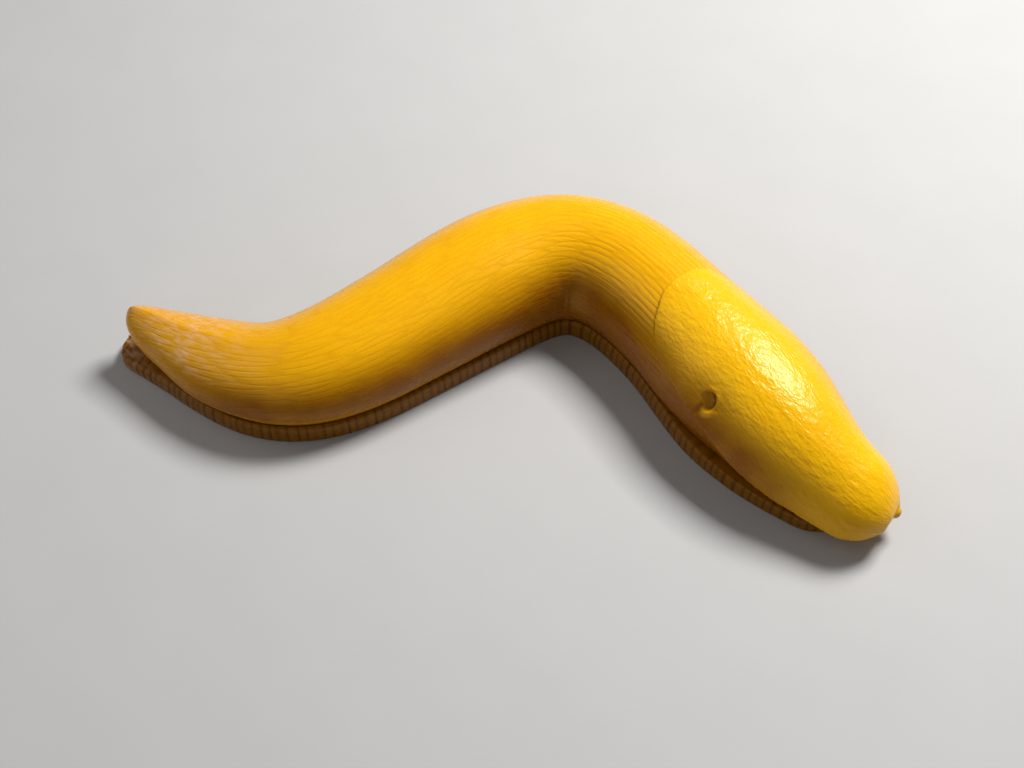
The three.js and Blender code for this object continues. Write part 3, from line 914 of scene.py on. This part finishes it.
class SLUG_OT_skin(bpy.types.Operator):
    """Make the one skin that covers body, mantle, head and foot"""

    bl_idname = "slug.skin"
    bl_label = "Skin"

    def execute(self, context):
        settings = context.scene.slug
        skin = as_object("slug_skin", body_mesh())
        mantle = as_object("mantle_form", mantle_mesh())
        mantle = combine(mantle, as_object("margin_form", margin_cutter()), "DIFFERENCE")
        skin = combine(skin, mantle, "UNION")
        for piece in head_pieces():
            skin = combine(skin, as_object("head_form", piece), "UNION")
        layout = self.finish(skin.data, settings)
        paint_skin(skin.data, layout)
        skin.data.materials.clear()
        skin.data.materials.append(skin_material(settings))
        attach(skin, ROOT)
        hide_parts(*FLESH)
        return {"FINISHED"}

    def finish(self, mesh, settings):
        """Softens the joined form and presses in its relief, and gives where each point lies."""
        work = bmesh.new()
        work.from_mesh(mesh)
        bmesh.ops.scale(work, vec=Vector((1 / MM,) * 3), verts=work.verts)
        bmesh.ops.remove_doubles(work, verts=work.verts, dist=0.01)
        work.verts.ensure_lookup_table()
        soften_joins(work)
        layout = press_relief(work, settings)
        bmesh.ops.triangulate(work, faces=[face for face in work.faces if len(face.verts) > 4])
        work.normal_update()
        bmesh.ops.scale(work, vec=Vector((MM,) * 3), verts=work.verts)
        work.to_mesh(mesh)
        work.free()
        mesh.shade_smooth()
        return layout


class SLUG_OT_eyes(bpy.types.Operator):
    """Make the eye spots, drawn into the tips of the upper tentacles"""

    bl_idname = "slug.eyes"
    bl_label = "Eyes"

    def execute(self, context):
        material = plain_material("eye_spot", context.scene.slug.eye_colour, 0.2, 0.8)
        reach = UPPER_TENTACLE["length"] / 2 + UPPER_TENTACLE["radius"] - EYE_INSET
        for side, side_name in ((1, "left"), (-1, "right")):
            station, left = tentacle_centre(UPPER_TENTACLE, side)
            spot = stand(blob(EYE_SIZE, 20, 12), station + reach / BODY_LENGTH, left,
                         UPPER_TENTACLE["level"] - EYE_DROP)
            eye = as_object(f"eye_{side_name}", spot)
            eye.data.shade_smooth()
            eye.data.materials.append(material)
            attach(eye, ROOT)
        return {"FINISHED"}


class SLUG_OT_stage(bpy.types.Operator):
    """Make the floor, the lights and the camera"""

    bl_idname = "slug.stage"
    bl_label = "Stage"

    def execute(self, context):
        settings = context.scene.slug
        self.add_floor(settings.floor_colour)
        self.add_lights(context.scene, settings.key_power)
        self.add_camera(context.scene)
        return {"FINISHED"}

    def add_floor(self, colour):
        """A wide round floor."""
        floor = bmesh.new()
        bmesh.ops.create_circle(floor, cap_ends=True, segments=96, radius=FLOOR_RADIUS)
        ground = as_object("floor", floor)
        ground.data.materials.append(plain_material("floor_paint", colour, 0.75))

    def add_lights(self, scene, key_power):
        """Soft lights that look at the slug, and a dim pale backdrop."""
        target = Vector(CAMERA_TARGET) * MM
        for name, spot, size, share in LIGHTS:
            lamp = bpy.data.lights.new(name, "AREA")
            lamp.size = size * MM
            lamp.energy = key_power * share
            holder = bpy.data.objects.new(name, lamp)
            holder.location = Vector(spot) * MM
            holder.rotation_euler = (target - holder.location).to_track_quat("-Z", "Y").to_euler()
            scene.collection.objects.link(holder)
        world = bpy.data.worlds.new("studio")
        world.use_nodes = True
        backdrop = world.node_tree.nodes["Background"]
        backdrop.inputs["Color"].default_value = BACKDROP_COLOUR
        backdrop.inputs["Strength"].default_value = BACKDROP_STRENGTH
        scene.world = world

    def add_camera(self, scene):
        """The camera at the photograph's angle."""
        lens = bpy.data.cameras.new("camera")
        lens.sensor_width = 36
        lens.angle = CAMERA_ANGLE
        lens.clip_start = 0.01
        camera = bpy.data.objects.new("camera", lens)
        back = Vector((0, -math.cos(CAMERA_ELEVATION), math.sin(CAMERA_ELEVATION)))
        camera.location = (Vector(CAMERA_TARGET) + back * CAMERA_DISTANCE) * MM
        camera.rotation_euler = (math.pi / 2 - CAMERA_ELEVATION, 0, 0)
        scene.collection.objects.link(camera)
        scene.camera = camera
        scene.view_settings.view_transform = "Standard"


class SLUG_PT_panel(bpy.types.Panel):
    """The slug's pieces, in the 3D view's sidebar"""

    bl_idname = "SLUG_PT_panel"
    bl_label = "Banana Slug"
    bl_space_type = "VIEW_3D"
    bl_region_type = "UI"
    bl_category = "Banana Slug"

    def draw(self, context):
        for name in ("slug.skin", "slug.eyes", "slug.stage"):
            self.layout.operator(name)
        for name in SlugSettings.__annotations__:
            self.layout.prop(context.scene.slug, name)


CLASSES = (SlugSettings, SLUG_OT_skin, SLUG_OT_eyes, SLUG_OT_stage, SLUG_PT_panel)


def register():
    for item in CLASSES:
        bpy.utils.register_class(item)
    bpy.types.Scene.slug = bpy.props.PointerProperty(type=SlugSettings)


def unregister():
    del bpy.types.Scene.slug
    for item in reversed(CLASSES):
        bpy.utils.unregister_class(item)


def main():
    register()
    bpy.ops.slug.skin()
    bpy.ops.slug.eyes()
    bpy.ops.slug.stage()
    bpy.context.view_layer.update()


if __name__ == "__main__":
    main()
